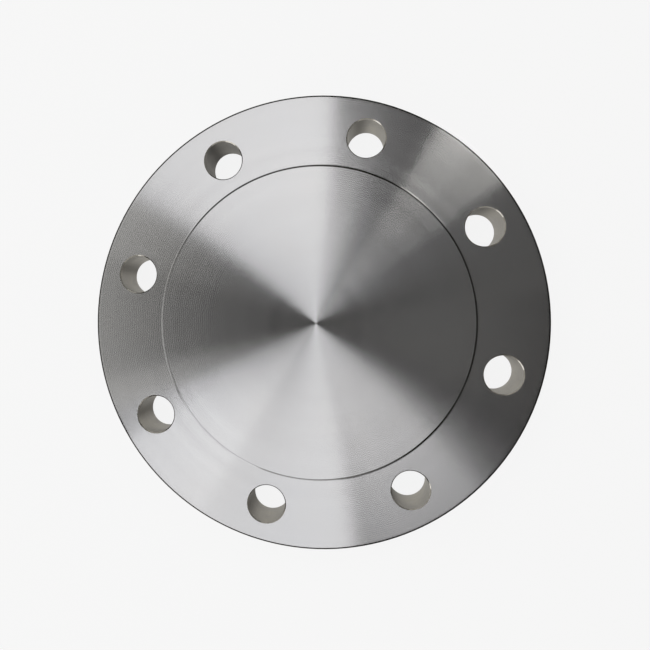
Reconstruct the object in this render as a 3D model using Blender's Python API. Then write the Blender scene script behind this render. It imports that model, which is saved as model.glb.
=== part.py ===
"""Raised-face blind flange, NPS 4 (DN 100) Class 150, forged and machined from one piece of steel.

The flange lies on its back face: the origin is the centre of that face and +Z points out of the raised
face, along the pipe's axis. The bolt holes straddle the X and Y axes, as they do on a pipe run. Lengths
are in metres.
"""

import math

import bmesh
import bpy

# Driving dimensions, from the flange standard's table for this size and class.
MM = 0.001
FLANGE_DIAMETER = 228.6 * MM
FLANGE_THICKNESS = 22.3 * MM  # back face to bolting face, without the raised face
RAISED_FACE_DIAMETER = 157.2 * MM
RAISED_FACE_HEIGHT = 1.6 * MM
BOLT_CIRCLE_DIAMETER = 190.5 * MM
BOLT_HOLE_DIAMETER = 19.05 * MM
BOLT_HOLES = 8

# Edges as the lathe and the drill leave them.
RIM_EDGE_RADIUS = 1.2 * MM
RAISED_EDGE_BREAK = 0.5 * MM
RAISED_ROOT_RADIUS = 1.0 * MM
HOLE_CHAMFER = 0.5 * MM

# Fineness of the round shapes.
RIM_STEPS = 96
HOLE_STEPS = 32
ARC_STEPS = 3
DRILL_OVERRUN = 1.0 * MM
MERGE_DISTANCE = 0.01 * MM

STEEL_COLOUR = (0.56, 0.56, 0.55, 1.0)
STEEL_ROUGHNESS = 0.32


def clear_scene():
    for thing in list(bpy.data.objects):
        bpy.data.objects.remove(thing)


def stainless_steel():
    """Turned stainless steel, bright and bare."""
    material = bpy.data.materials.new("turned_stainless_steel")
    material.use_nodes = True
    shader = material.node_tree.nodes["Principled BSDF"]
    shader.inputs["Base Color"].default_value = STEEL_COLOUR
    shader.inputs["Metallic"].default_value = 1.0
    shader.inputs["Roughness"].default_value = STEEL_ROUGHNESS
    return material


def arc(centre, radius, start, end):
    """Points of an arc in the half section, from one angle to another in degrees."""
    for step in range(ARC_STEPS + 1):
        angle = math.radians(start + (end - start) * step / ARC_STEPS)
        yield centre[0] + radius * math.cos(angle), centre[1] + radius * math.sin(angle)


def flange_profile():
    """Half section of the flange as (radius, height), from the raised face's centre down to the back's."""
    rim = FLANGE_DIAMETER / 2
    rim_centre = rim - RIM_EDGE_RADIUS
    raised = RAISED_FACE_DIAMETER / 2
    root = (raised + RAISED_ROOT_RADIUS, FLANGE_THICKNESS + RAISED_ROOT_RADIUS)
    top = FLANGE_THICKNESS + RAISED_FACE_HEIGHT
    return [
        (0.0, top),
        (raised - RAISED_EDGE_BREAK, top),
        (raised, top - RAISED_EDGE_BREAK),
        *arc(root, RAISED_ROOT_RADIUS, 180, 270),
        *arc((rim_centre, FLANGE_THICKNESS - RIM_EDGE_RADIUS), RIM_EDGE_RADIUS, 90, 0),
        *arc((rim_centre, RIM_EDGE_RADIUS), RIM_EDGE_RADIUS, 0, -90),
        (0.0, 0.0),
    ]


def drill_profile():
    """Half section of one bolt hole and its two chamfers, run on past both faces so that it cuts cleanly."""
    hole = BOLT_HOLE_DIAMETER / 2
    mouth = hole + HOLE_CHAMFER + DRILL_OVERRUN
    return [
        (0.0, FLANGE_THICKNESS + DRILL_OVERRUN),
        (mouth, FLANGE_THICKNESS + DRILL_OVERRUN),
        (hole, FLANGE_THICKNESS - HOLE_CHAMFER),
        (hole, HOLE_CHAMFER),
        (mouth, -DRILL_OVERRUN),
        (0.0, -DRILL_OVERRUN),
    ]


def turned_mesh(name, profile, steps):
    """Closed mesh made by spinning a (radius, height) profile, which ends on the axis, round Z."""
    shape = bmesh.new()
    corners = [shape.verts.new((radius, 0.0, height)) for radius, height in profile]
    edges = [shape.edges.new(pair) for pair in zip(corners, corners[1:])]
    bmesh.ops.spin(
        shape,
        geom=corners + edges,
        cent=(0.0, 0.0, 0.0),
        axis=(0.0, 0.0, 1.0),
        angle=math.tau,
        steps=steps,
        use_duplicate=False,
    )
    bmesh.ops.remove_doubles(shape, verts=shape.verts, dist=MERGE_DISTANCE)
    bmesh.ops.recalc_face_normals(shape, faces=shape.faces)
    mesh = bpy.data.meshes.new(name)
    shape.to_mesh(mesh)
    shape.free()
    return mesh


def drill_set():
    """Collection of the bolt-hole cutters, evenly spaced on the bolt circle and straddling the X axis."""
    cutters = bpy.data.collections.new("bolt_hole_drills")
    bpy.context.scene.collection.children.link(cutters)
    mesh = turned_mesh("bolt_hole_drill", drill_profile(), HOLE_STEPS)
    pitch = math.tau / BOLT_HOLES
    for number in range(BOLT_HOLES):
        angle = pitch * (number + 0.5)
        drill = bpy.data.objects.new(f"drill_{number + 1}", mesh)
        drill.location = (
            BOLT_CIRCLE_DIAMETER / 2 * math.cos(angle),
            BOLT_CIRCLE_DIAMETER / 2 * math.sin(angle),
            0.0,
        )
        drill.rotation_euler.z = angle
        drill.hide_render = True
        drill.display_type = "WIRE"
        cutters.objects.link(drill)
    return cutters


def blind_flange(material):
    """The flange itself: one turned disc, drilled through on its bolt circle."""
    mesh = turned_mesh("blind_flange", flange_profile(), RIM_STEPS)
    mesh.materials.append(material)
    mesh.shade_smooth()
    mesh.set_sharp_from_angle(angle=math.radians(20))
    flange = bpy.data.objects.new("blind_flange", mesh)
    bpy.context.scene.collection.objects.link(flange)
    drilling = flange.modifiers.new("bolt_holes", "BOOLEAN")
    drilling.operation = "DIFFERENCE"
    drilling.solver = "EXACT"
    drilling.operand_type = "COLLECTION"
    drilling.collection = drill_set()
    return flange


def main():
    clear_scene()
    blind_flange(stainless_steel())


main()
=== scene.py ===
"""Looks of a raised-face blind flange: the turned and drilled steel disc, and a light table to see it on.

The disc is made as the shop makes it. Its half section is drawn with every tool mark, Geometry Nodes turn
the section round the axis and drill the bolt circle, and each machined surface gets its own steel finish.
"""

import math

import bpy
from mathutils import Matrix, Vector


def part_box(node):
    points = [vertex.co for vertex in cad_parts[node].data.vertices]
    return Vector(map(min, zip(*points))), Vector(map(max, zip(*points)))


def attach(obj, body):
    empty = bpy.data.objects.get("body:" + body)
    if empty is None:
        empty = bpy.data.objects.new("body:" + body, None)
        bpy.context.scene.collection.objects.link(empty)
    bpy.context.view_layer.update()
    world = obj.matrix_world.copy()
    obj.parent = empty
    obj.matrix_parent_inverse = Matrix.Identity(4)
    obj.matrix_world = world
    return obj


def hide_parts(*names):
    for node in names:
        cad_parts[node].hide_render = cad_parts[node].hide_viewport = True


bl_info = {
    "name": "Blind flange",
    "version": (1, 0, 0),
    "blender": (4, 5, 0),
    "location": "View3D > Sidebar > Flange",
    "description": "Turns, drills and finishes a raised-face blind flange, and lights it",
    "category": "Object",
}

MM = 0.001
NODE = "blind_flange"
BODY = "root"

# What the shapes need besides their sizes.
TURNING_CIRCLE = 100 * MM  # a section is swept round a circle of this radius
MERGE_DISTANCE = 0.001 * MM
DRILL_OVERRUN = 1.0 * MM
ARC_STEPS = 6
RING_TOLERANCE = 0.002 * MM
RIDGE_ANGLES = math.radians(1), math.radians(5)  # between the flanks of two tool marks
CORNER_ANGLE = math.radians(35)
BORE_WALL_RISE = 0.3  # a bored face whose normal rises or falls by more than this is part of a hole's cone

# Dark colour on the steel, along two edges and in one hole. It stands in for reflections of something dark,
# and isn't known to be on a real flange. The sides are directions on the flange: the one where the line at
# the foot of the raised face fades out, and the one where the dark hole is.
PALE_SIDE = math.cos(math.radians(215)), math.sin(math.radians(215)), 0.0
PALE_FROM, PALE_TO = 10 * MM, 60 * MM  # from the axis, towards the pale side
DARK_HOLE_SIDE = math.cos(math.radians(112.5)), math.sin(math.radians(112.5)), 0.0
DARK_HOLE_FROM, DARK_HOLE_TO = 75 * MM, 95 * MM  # from the axis, towards the dark hole
DARK_HOLE_SHARE = 0.6  # how much of the bore's own colour it hides
FOOT_LINE = 0.25 * MM  # from the raised face's wall out to the middle of the line at its foot
FOOT_CORE, FOOT_EDGE = 0.32 * MM, 0.68 * MM  # half widths of that line, dark and faded out
# Painted dark reflection on the rim's rounding: where it starts, and where it is full.
RIM_PAINT_START, RIM_PAINT_FULL = 0.05 * MM, 0.2 * MM  # into the rounding of the rim's edge

# How fine each pattern of the steel is, in waves per metre.
DULL_RINGS = 120.0
TINT_PATCHES = 11.0
FINE_LINES = 2000.0
DRILL_RINGS = 1000.0
STAINS = 150.0
CHATTER = 500.0

PANEL_STEP = 4.0  # degrees between the corners of a panel on the dome
TABLE_REFLECTANCE = 0.08, 0.08, 0.08, 1.0

# The camera stands over the flange, a little to the right of its axis.
CAMERA_PLACE = Vector((18.9, 3.1, 302.9)) * MM
CAMERA_TILT = math.radians(0.50), math.radians(-5.27), math.radians(7.21)
CAMERA_LENS = 31.0
CAMERA_SHIFT = 0.037, -0.012

# What the steel sees around it, as panels on a dome: the azimuths and the angles from straight up that each
# one spans in degrees, and its radiance. Their names say what each could be in a room. Only far_lamp and
# far_wall overlap, by a degree. Nothing but the steel and the table sees them.
WINDOWS = {
    "left_skylight": (79, 147, 5, 16, 1.42),
    "left_window": (85, 143, 16, 30, 1.32),
    "left_sill": (84, 143, 30, 60, 1.05),
    "right_skylight": (225, 272, 6, 16, 1.5),
    "right_window": (225, 266.5, 16, 60, 1.1),
    "right_corner": (196, 225, 14, 30, 1.66),
    "corner_skylight": (205, 225, 6, 14, 1.1),
    "right_blind": (272, 301, 6, 16, 1.3),
    "right_curtain": (269, 301, 16, 30, 0.65),
    "right_sill": (203, 225, 30, 60, 0.85),
    "low_window": (200, 238, 70, 90, 1.8),
}
WALLS = {
    "door": (188, 196, 20, 27, 0.7),
    "far_lamp": (143, 159, 25, 50, 0.78),
    "far_wall": (158, 196, 27, 50, 0.72),
    "lamp": (41, 54, 37, 52, 5.4),
    "lamp_glow": (32, 41, 30, 50, 1.8),
    "shelf": (0, 32, 6, 32, 0.12),
    "right_ceiling": (318, 360, 6, 18, 0.25),
    "hall": (54, 84, 30, 60, 0.1),
    "left_wall": (68, 200, 62, 90, 0.6),
    "near_wall": (238, 300, 62, 90, 0.6),
    "window_frame": (200, 238, 62, 70, 0.6),
    "right_wall": (300, 428, 62, 90, 0.3),
    "left_floor": (68, 300, 90, 145, 0.45),
    "right_floor": (300, 428, 90, 145, 0.2),
    "under_table": (5, 262, 145, 180, 0.9),
    "under_edge": (262, 285, 145, 180, 0.6),
    "under_corner": (285, 340, 145, 180, 0.28),
    "under_side": (340, 365, 145, 180, 0.6),
}

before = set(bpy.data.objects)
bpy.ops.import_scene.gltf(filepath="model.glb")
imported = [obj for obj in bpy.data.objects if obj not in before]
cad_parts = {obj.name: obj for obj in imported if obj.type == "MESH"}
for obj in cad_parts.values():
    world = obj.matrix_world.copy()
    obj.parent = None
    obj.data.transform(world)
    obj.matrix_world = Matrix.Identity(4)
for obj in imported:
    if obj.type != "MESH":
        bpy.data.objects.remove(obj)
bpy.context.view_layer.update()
LOWEST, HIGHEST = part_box(NODE)


def linear(hex_colour):
    """An sRGB hex colour as linear red, green, blue and full opacity."""
    channels = [int(hex_colour[i : i + 2], 16) / 255 for i in (1, 3, 5)]
    return (*(c / 12.92 if c <= 0.04045 else ((c + 0.055) / 1.055) ** 2.4 for c in channels), 1.0)


def add_node(tree, kind, inputs=None, **settings):
    """Add a node. inputs gives each named or numbered socket a value, or the socket that feeds it."""
    node = tree.nodes.new(kind)
    for name, value in settings.items():
        setattr(node, name, value)
    for socket, value in (inputs or {}).items():
        if isinstance(value, bpy.types.NodeSocket):
            tree.links.new(value, node.inputs[socket])
        else:
            node.inputs[socket].default_value = value
    return node


# Sizes, finishes and studio, as a user sees them.


def length(name, description, default):
    """A property for a length, kept in metres."""
    return bpy.props.FloatProperty(
        name=name, description=description, default=default, min=0.0, precision=5, unit="LENGTH"
    )


def colour(name, description, hex_colour):
    """A property for an opaque colour."""
    return bpy.props.FloatVectorProperty(
        name=name, description=description, default=linear(hex_colour), size=4, subtype="COLOR"
    )


def share(name, description, default):
    """A property from 0 to 1."""
    return bpy.props.FloatProperty(
        name=name, description=description, default=default, min=0.0, max=1.0, subtype="FACTOR"
    )


def count(name, description, default, least):
    """A property for a number of like things."""
    return bpy.props.IntProperty(name=name, description=description, default=default, min=least)


class FlangeSizes(bpy.types.PropertyGroup):
    """Sizes of the disc. The outer ones come from the frame."""

    outside: length("Outside diameter", "Diameter over the rim", HIGHEST.x - LOWEST.x)
    height: length("Overall height", "Back face to raised face", HIGHEST.z - LOWEST.z)
    raised: length("Raised face diameter", "Diameter of the gasket's seat", 157.2 * MM)
    raised_height: length("Raised face height", "Raised face above bolting face", 1.6 * MM)
    bolt_circle: length("Bolt circle", "Diameter of the circle of holes", 190.5 * MM)
    hole: length("Hole diameter", "Diameter of each bolt hole", 19.05 * MM)
    holes: count("Bolt holes", "Number of holes on the bolt circle", 8, 4)
    rim_edge: length("Rim edge radius", "Rounding of the rim's two edges", 1.2 * MM)
    raised_edge: length("Raised edge break", "Chamfer round the raised face", 0.5 * MM)
    root: length("Root radius", "Fillet at the foot of the raised face", 1.0 * MM)
    hole_chamfer: length("Hole chamfer", "Chamfer at both mouths of a hole", 0.5 * MM)
    centre_mark: length("Centre mark", "Radius of the dimple left at the axis", 0.9 * MM)
    centre_depth: length("Centre depth", "Depth of the dimple left at the axis", 0.2 * MM)
    front_feed: length("Front feed", "Distance between the front's tool marks", 1.0 * MM)
    back_feed: length("Back feed", "Distance between tool marks on back and rim", 1.4 * MM)
    mark_depth: length("Tool mark depth", "Depth of one tool mark", 0.02 * MM)
    sides: count("Sides", "Sides of the turned disc", 160, 32)
    hole_sides: count("Hole sides", "Sides of each drilled hole", 64, 16)


class FlangeFinish(bpy.types.PropertyGroup):
    """Colours and roughness of the machined steel, and the colour of its painted dark reflections."""

    cool: colour("Cool steel", "Steel where the surface is cleanest", "#C9CACD")
    warm: colour("Warm steel", "Steel where its tint is warmest", "#CCCAC8")
    bore: colour("Bore steel", "Steel inside the drilled holes", "#8F897B")
    cone: colour("Countersunk steel", "Steel of the holes' chamfers", "#C0BEBA")
    # Painted dark reflection, put along two edges and in one hole.
    dark: colour("Painted reflection colour", "Stands in for dark reflections at edges and in one hole", "#3B3936")
    turned: share("Turned roughness", "Roughness of the turned surfaces", 0.2)
    drilled: share("Drilled roughness", "Roughness of the holes' walls", 0.5)
    countersunk: share("Countersunk roughness", "Roughness of the holes' chamfers", 0.12)


class FlangeStudio(bpy.types.PropertyGroup):
    """The light table, and the room that shines on the steel."""

    table: colour("Table", "Colour of the pale table", "#F5F5F5")
    glow: share("Table glow", "How bright the table shines by itself", 0.963)
    daylight: colour("Daylight", "Colour of the windows", "#FEFEFF")
    warm_light: colour("Warm light", "Colour of the lamp and of the walls", "#FFFEFA")
    room: colour("Room", "Light from between the windows and walls", "#302F2F")
    dome: length("Dome radius", "Distance of the windows and walls from the flange", 1.2)
    table_size: length("Table size", "Side of the table", 12.0)


# The disc.


def tool_marks(start, end, feed, depth):
    """Ridges and valleys left by the tool between two corners of the section, without the last ridge.

    The metal lies to the right of the way the section runs.
    """
    start, end = Vector(start), Vector(end)
    marks = max(1, round((end - start).length / feed))
    step = (end - start) / marks
    valley = step / 2 + Vector((step.y, -step.x)).normalized() * depth
    for mark in range(marks):
        yield start + step * mark
        yield start + step * mark + valley


def arc(centre, radius, start, end):
    """Points of an arc in the section, from one angle to another in degrees."""
    for step in range(ARC_STEPS + 1):
        angle = math.radians(start + (end - start) * step / ARC_STEPS)
        yield Vector(centre) + radius * Vector((math.cos(angle), math.sin(angle)))


def disc_section(sizes):
    """Half section of the disc as (radius, height), from the raised face's centre down to the back's."""
    rim = sizes.outside / 2
    edge = sizes.rim_edge
    raised = sizes.raised / 2
    seat = raised - sizes.raised_edge
    mark = sizes.centre_mark
    top = sizes.height
    bolting = top - sizes.raised_height
    root = sizes.root
    return [
        (0, top - sizes.centre_depth),
        *tool_marks((mark, top), (seat, top), sizes.front_feed, sizes.mark_depth),
        (seat, top),
        (raised, top - sizes.raised_edge),
        *arc((raised + root, bolting + root), root, 180, 270),
        *tool_marks((raised + root, bolting), (rim - edge, bolting), sizes.front_feed, sizes.mark_depth),
        *arc((rim - edge, bolting - edge), edge, 90, 0),
        *tool_marks((rim, bolting - edge), (rim, edge), sizes.back_feed, sizes.mark_depth),
        *arc((rim - edge, edge), edge, 0, -90),
        *tool_marks((rim - edge, 0), (mark, 0), sizes.back_feed, sizes.mark_depth),
        (mark, 0),
        (0, sizes.centre_depth),
    ]


def drill_section(sizes):
    """Half section of what the drill and the countersinks take away, run on past both faces."""
    hole = sizes.hole / 2
    mouth = hole + sizes.hole_chamfer + DRILL_OVERRUN
    bolting = sizes.height - sizes.raised_height
    return [
        (0, bolting + DRILL_OVERRUN),
        (mouth, bolting + DRILL_OVERRUN),
        (hole, bolting - sizes.hole_chamfer),
        (hole, sizes.hole_chamfer),
        (mouth, -DRILL_OVERRUN),
        (0, -DRILL_OVERRUN),
    ]


def section_object(name, section):
    """A half section as a chain of edges in the XZ plane."""
    mesh = bpy.data.meshes.new(name)
    edges = [(corner, corner + 1) for corner in range(len(section) - 1)]
    mesh.from_pydata([(radius, 0, height) for radius, height in section], edges, [])
    thing = bpy.data.objects.new(name, mesh)
    bpy.context.scene.collection.objects.link(thing)
    return thing


def tree_with(name, sockets):
    """A geometry node tree with those named inputs, and the sockets that bring them in."""
    tree = bpy.data.node_groups.new(name, "GeometryNodeTree")
    for socket, kind in sockets.items():
        tree.interface.new_socket(socket, in_out="INPUT", socket_type="NodeSocket" + kind)
    tree.interface.new_socket("Mesh", in_out="OUTPUT", socket_type="NodeSocketGeometry")
    return tree, add_node(tree, "NodeGroupInput").outputs


def turning_tree():
    """Turns a half section round the Z axis into a closed mesh."""
    tree, given = tree_with("turning", {"Section": "Geometry", "Sides": "Int"})
    # The sweep draws a profile's X outwards and its Y downwards.
    flat = add_node(
        tree,
        "GeometryNodeTransform",
        {0: given["Section"], "Translation": (-TURNING_CIRCLE, 0, 0), "Rotation": (math.pi / 2, 0, 0)},
    )
    profile = add_node(tree, "GeometryNodeMeshToCurve", {"Mesh": flat.outputs[0]})
    circle = add_node(
        tree,
        "GeometryNodeCurvePrimitiveCircle",
        {"Resolution": given["Sides"], "Radius": TURNING_CIRCLE},
    )
    swept = add_node(
        tree, "GeometryNodeCurveToMesh", {"Curve": circle.outputs[0], "Profile Curve": profile.outputs[0]}
    )
    merged = add_node(
        tree, "GeometryNodeMergeByDistance", {"Geometry": swept.outputs[0], "Distance": MERGE_DISTANCE}
    )
    add_node(tree, "NodeGroupOutput", {"Mesh": merged.outputs[0]})
    return tree


def drilling(tree, given, turning):
    """Nodes for the drills on the bolt circle, with their faces marked as bored."""
    section = add_node(tree, "GeometryNodeObjectInfo", {"Object": given["Drill Section"]})
    drill = add_node(tree, "GeometryNodeGroup", node_tree=turning)
    tree.links.new(section.outputs["Geometry"], drill.inputs["Section"])
    tree.links.new(given["Hole Sides"], drill.inputs["Sides"])
    bored = add_node(
        tree,
        "GeometryNodeStoreNamedAttribute",
        {"Geometry": drill.outputs[0], "Name": "bored", "Value": 1.0},
        domain="FACE",
    )
    circle = add_node(
        tree,
        "GeometryNodeMeshCircle",
        {"Vertices": given["Bolt Holes"], "Radius": given["Bolt Circle Radius"]},
    )
    # Half a pitch round, the holes straddle the axes.
    half_pitch = add_node(tree, "ShaderNodeMath", {0: math.pi, 1: given["Bolt Holes"]}, operation="DIVIDE")
    turn = add_node(tree, "ShaderNodeCombineXYZ", {"Z": half_pitch.outputs[0]})
    straddling = add_node(tree, "GeometryNodeTransform", {0: circle.outputs[0], "Rotation": turn.outputs[0]})
    drills = add_node(
        tree, "GeometryNodeInstanceOnPoints", {"Points": straddling.outputs[0], "Instance": bored.outputs[0]}
    )
    return add_node(tree, "GeometryNodeRealizeInstances", {"Geometry": drills.outputs[0]}).outputs[0]


def ridges_and_corners(tree):
    """Nodes for the edges that stay sharp: real corners, and the ridges between tool marks."""
    angles = add_node(tree, "GeometryNodeInputMeshEdgeAngle").outputs
    corner = add_node(tree, "FunctionNodeCompare", {0: angles["Unsigned Angle"], 1: CORNER_ANGLE})
    ends = add_node(tree, "GeometryNodeInputMeshEdgeVertices").outputs
    radii = [
        add_node(
            tree,
            "ShaderNodeVectorMath",
            {
                0: add_node(
                    tree,
                    "ShaderNodeVectorMath",
                    {0: ends[name], 1: (1, 1, 0)},
                    operation="MULTIPLY",
                ).outputs[0]
            },
            operation="LENGTH",
        ).outputs["Value"]
        for name in ("Position 1", "Position 2")
    ]
    heights = [
        add_node(tree, "ShaderNodeSeparateXYZ", {0: ends[name]}).outputs["Z"]
        for name in ("Position 1", "Position 2")
    ]
    same = [
        add_node(
            tree, "ShaderNodeMath", {0: pair[0], 1: pair[1], 2: RING_TOLERANCE}, operation="COMPARE"
        ).outputs[0]
        for pair in (radii, heights)
    ]
    low, high = RIDGE_ANGLES
    steep = add_node(tree, "ShaderNodeMath", {0: angles["Signed Angle"], 1: low}, operation="GREATER_THAN")
    slight = add_node(tree, "ShaderNodeMath", {0: angles["Signed Angle"], 1: high}, operation="LESS_THAN")
    ridge = same[0]
    for test in (same[1], steep.outputs[0], slight.outputs[0]):
        ridge = add_node(tree, "ShaderNodeMath", {0: ridge, 1: test}, operation="MULTIPLY").outputs[0]
    return add_node(
        tree, "FunctionNodeBooleanMath", {0: corner.outputs[0], 1: ridge}, operation="OR"
    ).outputs[0]


def flange_tree():
    """Turns the disc, drills its bolt circle, keeps its edges crisp and gives each surface its steel."""
    tree, given = tree_with(
        "turned_and_drilled",
        {
            "Section": "Geometry",
            "Sides": "Int",
            "Drill Section": "Object",
            "Hole Sides": "Int",
            "Bolt Circle Radius": "Float",
            "Bolt Holes": "Int",
            "Turned Steel": "Material",
            "Bore Steel": "Material",
            "Countersunk Steel": "Material",
        },
    )
    turning = turning_tree()
    disc = add_node(tree, "GeometryNodeGroup", node_tree=turning)
    tree.links.new(given["Section"], disc.inputs["Section"])
    tree.links.new(given["Sides"], disc.inputs["Sides"])
    drilled = add_node(
        tree,
        "GeometryNodeMeshBoolean",
        {"Mesh 1": disc.outputs[0], "Mesh 2": drilling(tree, given, turning)},
        operation="DIFFERENCE",
        solver="MANIFOLD",
    )
    sharp = add_node(
        tree,
        "GeometryNodeSetShadeSmooth",
        {"Geometry": drilled.outputs[0], "Selection": ridges_and_corners(tree), "Shade Smooth": False},
        domain="EDGE",
    )
    realized = add_node(tree, "GeometryNodeRealizeInstances", {"Geometry": sharp.outputs[0]})

    # Every surface is turned, but for the bores and the cones of their mouths.
    bored = add_node(tree, "GeometryNodeInputNamedAttribute", {"Name": "bored"}).outputs[0]
    facing = add_node(
        tree, "ShaderNodeSeparateXYZ", {0: add_node(tree, "GeometryNodeInputNormal").outputs[0]}
    )
    upright = add_node(tree, "ShaderNodeMath", {0: facing.outputs["Z"]}, operation="ABSOLUTE")
    leaning = add_node(
        tree, "ShaderNodeMath", {0: upright.outputs[0], 1: BORE_WALL_RISE}, operation="GREATER_THAN"
    )
    mouth = add_node(tree, "ShaderNodeMath", {0: leaning.outputs[0], 1: bored}, operation="MULTIPLY")
    mesh = realized.outputs[0]
    for steel, selection in (
        ("Turned Steel", True),
        ("Bore Steel", bored),
        ("Countersunk Steel", mouth.outputs[0]),
    ):
        mesh = add_node(
            tree,
            "GeometryNodeSetMaterial",
            {"Geometry": mesh, "Selection": selection, "Material": given[steel]},
        ).outputs[0]
    add_node(tree, "NodeGroupOutput", {"Mesh": mesh})
    return tree


def made_plain(thing, tree, values):
    """The object's mesh as the tree makes it from those inputs, as a plain mesh on the same object."""
    sockets = {item.name: item.identifier for item in tree.interface.items_tree if item.in_out == "INPUT"}
    modifier = thing.modifiers.new(tree.name, "NODES")
    modifier.node_group = tree
    for name, value in values.items():
        modifier[sockets[name]] = value
    depsgraph = bpy.context.evaluated_depsgraph_get()
    mesh = bpy.data.meshes.new_from_object(thing.evaluated_get(depsgraph), depsgraph=depsgraph)
    thing.modifiers.remove(modifier)
    thing.data = mesh
    mesh.name = thing.name


# Steel.


def steel(name):
    """A new material whose shader is a bare metal, and its node tree."""
    material = bpy.data.materials.new(name)
    material.use_nodes = True
    tree = material.node_tree
    shader = tree.nodes["Principled BSDF"]
    shader.inputs["Metallic"].default_value = 1.0
    return material, tree, shader


def painted_reflection_lines(tree, sizes, place, radius, height):
    """How much painted dark reflection each place gets: a line at the foot of the raised face and one on the
    rim's rounding.

    The line at the foot goes by the radius alone, so it also shows on the flat back, where it doesn't belong.
    """
    foot = sizes.raised / 2 + FOOT_LINE
    past_foot = add_node(tree, "ShaderNodeMath", {0: radius, 1: foot}, operation="SUBTRACT")
    off_foot = add_node(tree, "ShaderNodeMath", {0: past_foot.outputs[0]}, operation="ABSOLUTE")
    line = add_node(
        tree,
        "ShaderNodeMapRange",
        {
            "Value": off_foot.outputs[0],
            "From Min": FOOT_CORE,
            "From Max": FOOT_EDGE,
            "To Min": 1.0,
            "To Max": 0.0,
        },
    )
    # The painted reflection at the foot fades out on one side.
    aside = add_node(tree, "ShaderNodeVectorMath", {0: place, 1: PALE_SIDE}, operation="DOT_PRODUCT")
    unfaded = add_node(
        tree,
        "ShaderNodeMapRange",
        {
            "Value": aside.outputs["Value"],
            "From Min": PALE_FROM,
            "From Max": PALE_TO,
            "To Min": 1.0,
            "To Max": 0.0,
        },
    )
    foot_reflection_paint = add_node(
        tree,
        "ShaderNodeMath",
        {0: line.outputs["Result"], 1: unfaded.outputs["Result"]},
        operation="MULTIPLY",
    )
    # On the rim's edge, how far a place is past the start of the rounding, outwards and upwards.
    out = add_node(
        tree, "ShaderNodeMath", {0: radius, 1: sizes.outside / 2 - sizes.rim_edge}, operation="SUBTRACT"
    )
    up = add_node(
        tree,
        "ShaderNodeMath",
        {0: height, 1: sizes.height - sizes.raised_height - sizes.rim_edge},
        operation="SUBTRACT",
    )
    rounded = add_node(tree, "ShaderNodeMath", {0: out.outputs[0], 1: up.outputs[0]}, operation="MINIMUM")
    # Painted dark reflection on the rim's rounding, full a little way in.
    rim_reflection_paint = add_node(
        tree,
        "ShaderNodeMapRange",
        {"Value": rounded.outputs[0], "From Min": RIM_PAINT_START, "From Max": RIM_PAINT_FULL},
    )
    return add_node(
        tree,
        "ShaderNodeMath",
        {0: foot_reflection_paint.outputs[0], 1: rim_reflection_paint.outputs["Result"]},
        operation="MAXIMUM",
    ).outputs[0]


def turned_steel(finish, sizes):
    """Fine-turned stainless steel. Its grooves run in circles, so it shines in fans that meet on the axis."""
    material, tree, shader = steel("turned_stainless_steel")
    place = add_node(tree, "ShaderNodeTexCoord").outputs["Object"]
    across = add_node(tree, "ShaderNodeVectorMath", {0: place, 1: (1, 1, 0)}, operation="MULTIPLY")
    radius = add_node(tree, "ShaderNodeVectorMath", {0: across.outputs[0]}, operation="LENGTH")
    height = add_node(tree, "ShaderNodeSeparateXYZ", {0: place}).outputs["Z"]
    # Along the section: outwards on the faces, and down the rim.
    travel = add_node(
        tree, "ShaderNodeMath", {0: radius.outputs["Value"], 1: height}, operation="SUBTRACT"
    ).outputs[0]

    # Rings some 8 mm wide are a little duller or brighter than the next.
    rings = add_node(
        tree,
        "ShaderNodeTexNoise",
        {"W": travel, "Scale": DULL_RINGS, "Detail": 2.0, "Roughness": 0.6},
        noise_dimensions="1D",
    )
    roughness = add_node(
        tree,
        "ShaderNodeMapRange",
        {"Value": rings.outputs["Fac"], "To Min": finish.turned - 0.025, "To Max": finish.turned + 0.025},
    )
    # The tint drifts slightly over the face, in patches as wide as a hand.
    drift = add_node(
        tree,
        "ShaderNodeTexNoise",
        {"Vector": place, "Scale": TINT_PATCHES, "Detail": 3.0, "Roughness": 0.55},
    )
    tint = add_node(
        tree,
        "ShaderNodeMix",
        {"Factor": drift.outputs["Fac"], "A": finish.cool, "B": finish.warm},
        data_type="RGBA",
    )
    # Fine lines inside each tool mark, drawn some 0.5 mm apart so that they show.
    lines = add_node(
        tree, "ShaderNodeTexNoise", {"W": travel, "Scale": FINE_LINES, "Detail": 0.0}, noise_dimensions="1D"
    )
    relief = add_node(
        tree, "ShaderNodeBump", {"Strength": 0.2, "Distance": 0.001 * MM, "Height": lines.outputs["Fac"]}
    )
    grooves = add_node(tree, "ShaderNodeTangent", direction_type="RADIAL", axis="Z")
    # Painted dark reflections at the foot of the raised face and on the rim's rounding are mixed into the
    # steel's colour.
    with_painted_reflection = add_node(
        tree,
        "ShaderNodeMix",
        {
            "Factor": painted_reflection_lines(tree, sizes, place, radius.outputs["Value"], height),
            "A": tint.outputs["Result"],
            "B": finish.dark,
        },
        data_type="RGBA",
    )
    tree.links.new(with_painted_reflection.outputs["Result"], shader.inputs["Base Color"])
    tree.links.new(roughness.outputs["Result"], shader.inputs["Roughness"])
    tree.links.new(relief.outputs["Normal"], shader.inputs["Normal"])
    tree.links.new(grooves.outputs["Tangent"], shader.inputs["Tangent"])
    shader.inputs["Anisotropic"].default_value = 1.0
    shader.inputs["Anisotropic Rotation"].default_value = 0.25
    return material


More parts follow.
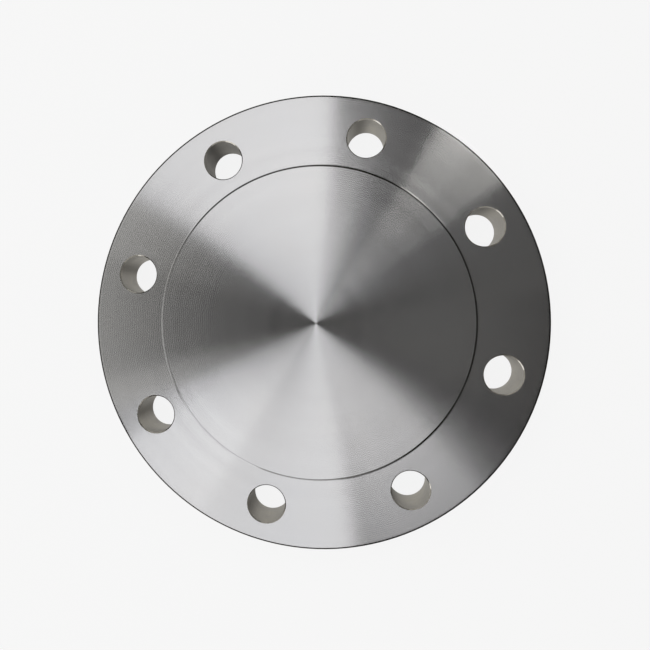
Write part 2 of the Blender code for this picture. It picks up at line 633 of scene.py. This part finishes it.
def bore_steel(finish):
    """Drilled stainless steel, with dull rings down the wall and darker stains over them."""
    material, tree, shader = steel("drilled_stainless_steel")
    place = add_node(tree, "ShaderNodeTexCoord").outputs["Object"]
    height = add_node(tree, "ShaderNodeSeparateXYZ", {0: place}).outputs["Z"]
    # The drill's rings, drawn some 1 mm apart so that they show.
    rings = add_node(
        tree,
        "ShaderNodeTexNoise",
        {"W": height, "Scale": DRILL_RINGS, "Detail": 1.0},
        noise_dimensions="1D",
    )
    relief = add_node(
        tree, "ShaderNodeBump", {"Strength": 0.6, "Distance": 0.02 * MM, "Height": rings.outputs["Fac"]}
    )
    stain = add_node(
        tree, "ShaderNodeTexNoise", {"Vector": place, "Scale": STAINS, "Detail": 3.0, "Roughness": 0.6}
    )
    wall = add_node(
        tree,
        "ShaderNodeMix",
        {"Factor": stain.outputs["Fac"], "A": finish.bore, "B": finish.warm},
        data_type="RGBA",
    )
    dulled = add_node(
        tree,
        "ShaderNodeMapRange",
        {
            "Value": stain.outputs["Fac"],
            "From Min": 0.3,
            "From Max": 0.7,
            "To Min": finish.drilled - 0.08,
            "To Max": finish.drilled + 0.08,
        },
    )
    # One hole gets a painted dark reflection, darker than the others.
    side = add_node(tree, "ShaderNodeVectorMath", {0: place, 1: DARK_HOLE_SIDE}, operation="DOT_PRODUCT")
    hole_reflection_paint = add_node(
        tree,
        "ShaderNodeMapRange",
        {
            "Value": side.outputs["Value"],
            "From Min": DARK_HOLE_FROM,
            "From Max": DARK_HOLE_TO,
            "To Max": DARK_HOLE_SHARE,
        },
    )
    with_painted_reflection = add_node(
        tree,
        "ShaderNodeMix",
        {"Factor": hole_reflection_paint.outputs["Result"], "A": wall.outputs["Result"], "B": finish.dark},
        data_type="RGBA",
    )
    tree.links.new(with_painted_reflection.outputs["Result"], shader.inputs["Base Color"])
    tree.links.new(dulled.outputs["Result"], shader.inputs["Roughness"])
    tree.links.new(relief.outputs["Normal"], shader.inputs["Normal"])
    return material


def countersunk_steel(finish):
    """Countersunk stainless steel. The cone at a hole's mouth is cut clean and flashes as a thin crescent."""
    material, tree, shader = steel("countersunk_stainless_steel")
    place = add_node(tree, "ShaderNodeTexCoord").outputs["Object"]
    # Chatter of the countersink, some 2 mm from crest to crest.
    chatter = add_node(tree, "ShaderNodeTexNoise", {"Vector": place, "Scale": CHATTER, "Detail": 1.0})
    roughness = add_node(
        tree,
        "ShaderNodeMapRange",
        {
            "Value": chatter.outputs["Fac"],
            "To Min": finish.countersunk - 0.05,
            "To Max": finish.countersunk + 0.05,
        },
    )
    tint = add_node(
        tree,
        "ShaderNodeMix",
        {"Factor": chatter.outputs["Fac"], "A": finish.cone, "B": finish.bore},
        data_type="RGBA",
    )
    tree.links.new(tint.outputs["Result"], shader.inputs["Base Color"])
    tree.links.new(roughness.outputs["Result"], shader.inputs["Roughness"])
    return material


class FLANGE_OT_turned_disc(bpy.types.Operator):
    """Turn the disc, drill its bolt circle and finish its steel"""

    bl_idname = "flange.turned_disc"
    bl_label = "Turned disc"

    def execute(self, context):
        sizes = context.scene.flange_sizes
        finish = context.scene.flange_finish
        disc = section_object("turned_flange", disc_section(sizes))
        drill = section_object("drill_section", drill_section(sizes))
        made_plain(
            disc,
            flange_tree(),
            {
                "Sides": sizes.sides,
                "Drill Section": drill,
                "Hole Sides": sizes.hole_sides,
                "Bolt Circle Radius": sizes.bolt_circle / 2,
                "Bolt Holes": sizes.holes,
                "Turned Steel": turned_steel(finish, sizes),
                "Bore Steel": bore_steel(finish),
                "Countersunk Steel": countersunk_steel(finish),
            },
        )
        bpy.data.objects.remove(drill)
        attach(disc, BODY)
        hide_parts(NODE)
        return {"FINISHED"}


# The studio.


def glowing(name, light_colour, radiance):
    """A material that shines evenly."""
    material = bpy.data.materials.new(name)
    material.use_nodes = True
    tree = material.node_tree
    tree.nodes.clear()
    light = add_node(tree, "ShaderNodeEmission", {"Color": light_colour, "Strength": radiance})
    add_node(tree, "ShaderNodeOutputMaterial", {"Surface": light.outputs[0]})
    return material


def staged(name, corners, faces, material):
    """A mesh of the studio, which is no part of the flange."""
    mesh = bpy.data.meshes.new(name)
    mesh.from_pydata(corners, [], faces)
    mesh.materials.append(material)
    thing = bpy.data.objects.new(name, mesh)
    bpy.context.scene.collection.objects.link(thing)
    return thing


def dome_panel(name, studio, centre, light_colour, span):
    """A curved panel on the dome, which shines on the flange and is out of the camera's sight."""
    first, last, top, bottom, radiance = span
    columns = math.ceil((last - first) / PANEL_STEP)
    rows = math.ceil((bottom - top) / PANEL_STEP)
    corners = []
    for row in range(rows + 1):
        tilt = math.radians(top + (bottom - top) * row / rows)
        for column in range(columns + 1):
            azimuth = math.radians(first + (last - first) * column / columns)
            out = Vector(
                (math.sin(tilt) * math.cos(azimuth), math.sin(tilt) * math.sin(azimuth), math.cos(tilt))
            )
            corners.append(centre + studio.dome * out)
    faces = []
    for row in range(rows):
        for column in range(columns):
            corner = row * (columns + 1) + column
            faces.append((corner, corner + 1, corner + columns + 2, corner + columns + 1))
    panel = staged(name, corners, faces, glowing(name, light_colour, radiance))
    panel.visible_camera = False
    panel.visible_shadow = False


def light_table(studio):
    """A large pale table that shines softly by itself, as a backlit acrylic sheet does.

    Its mirror image in the steel is switched off, which a real table's can't be, so that the steel's edges
    stay dark against it.
    """
    material = bpy.data.materials.new("backlit_acrylic")
    material.use_nodes = True
    shader = material.node_tree.nodes["Principled BSDF"]
    shader.inputs["Base Color"].default_value = TABLE_REFLECTANCE
    shader.inputs["Roughness"].default_value = 0.9
    shader.inputs["Specular IOR Level"].default_value = 0.0
    shader.inputs["Emission Color"].default_value = studio.table
    shader.inputs["Emission Strength"].default_value = studio.glow
    half = studio.table_size / 2
    corners = [(-half, -half, 0), (half, -half, 0), (half, half, 0), (-half, half, 0)]
    table = staged("light_table", corners, [(0, 1, 2, 3)], material)
    table.visible_glossy = False


def room(studio):
    """Dim light from all round for the steel, and a pale room for the camera."""
    world = bpy.data.worlds.new("room")
    bpy.context.scene.world = world
    world.use_nodes = True
    tree = world.node_tree
    tree.nodes.clear()
    dim = add_node(tree, "ShaderNodeBackground", {"Color": studio.room})
    pale = add_node(tree, "ShaderNodeBackground", {"Color": studio.table})
    seen = add_node(tree, "ShaderNodeLightPath").outputs["Is Camera Ray"]
    mixed = add_node(tree, "ShaderNodeMixShader", {0: seen, 1: dim.outputs[0], 2: pale.outputs[0]})
    add_node(tree, "ShaderNodeOutputWorld", {"Surface": mixed.outputs[0]})


def camera():
    """A camera over the flange that looks almost straight down."""
    data = bpy.data.cameras.new("camera")
    data.lens = CAMERA_LENS
    data.sensor_width = 36.0
    data.shift_x, data.shift_y = CAMERA_SHIFT
    data.clip_start = 0.01
    thing = bpy.data.objects.new("camera", data)
    bpy.context.scene.collection.objects.link(thing)
    tilt_x, tilt_y, turn = CAMERA_TILT
    facing = (
        Matrix.Rotation(tilt_x, 3, "X") @ Matrix.Rotation(tilt_y, 3, "Y") @ Matrix.Rotation(turn, 3, "Z")
    )
    thing.location = CAMERA_PLACE
    thing.rotation_euler = facing.transposed().to_euler()
    bpy.context.scene.camera = thing


class FLANGE_OT_studio(bpy.types.Operator):
    """Set up the light table, the windows and walls, the room and the camera"""

    bl_idname = "flange.studio"
    bl_label = "Studio"

    def execute(self, context):
        studio = context.scene.flange_studio
        sizes = context.scene.flange_sizes
        centre = Vector((0, 0, sizes.height - sizes.raised_height))
        light_table(studio)
        for panels, light_colour in ((WINDOWS, studio.daylight), (WALLS, studio.warm_light)):
            for name, span in panels.items():
                dome_panel(name, studio, centre, light_colour, span)
        room(studio)
        camera()
        context.scene.view_settings.view_transform = "Standard"
        return {"FINISHED"}


class FLANGE_PT_sidebar(bpy.types.Panel):
    """Sizes, finishes and studio of the blind flange"""

    bl_idname = "FLANGE_PT_sidebar"
    bl_label = "Blind flange"
    bl_space_type = "VIEW_3D"
    bl_region_type = "UI"
    bl_category = "Flange"

    def draw(self, context):
        for group, operator in (
            (context.scene.flange_sizes, None),
            (context.scene.flange_finish, FLANGE_OT_turned_disc.bl_idname),
            (context.scene.flange_studio, FLANGE_OT_studio.bl_idname),
        ):
            box = self.layout.box()
            for name in type(group).__annotations__:
                box.prop(group, name)
            if operator:
                box.operator(operator)


GROUPS = {"flange_sizes": FlangeSizes, "flange_finish": FlangeFinish, "flange_studio": FlangeStudio}
CLASSES = (*GROUPS.values(), FLANGE_OT_turned_disc, FLANGE_OT_studio, FLANGE_PT_sidebar)


def register():
    for kind in CLASSES:
        bpy.utils.register_class(kind)
    for name, group in GROUPS.items():
        setattr(bpy.types.Scene, name, bpy.props.PointerProperty(type=group))


def unregister():
    for name in GROUPS:
        delattr(bpy.types.Scene, name)
    for kind in reversed(CLASSES):
        bpy.utils.unregister_class(kind)


def main():
    register()
    bpy.ops.flange.turned_disc()
    bpy.ops.flange.studio()


if __name__ == "__main__":
    main()
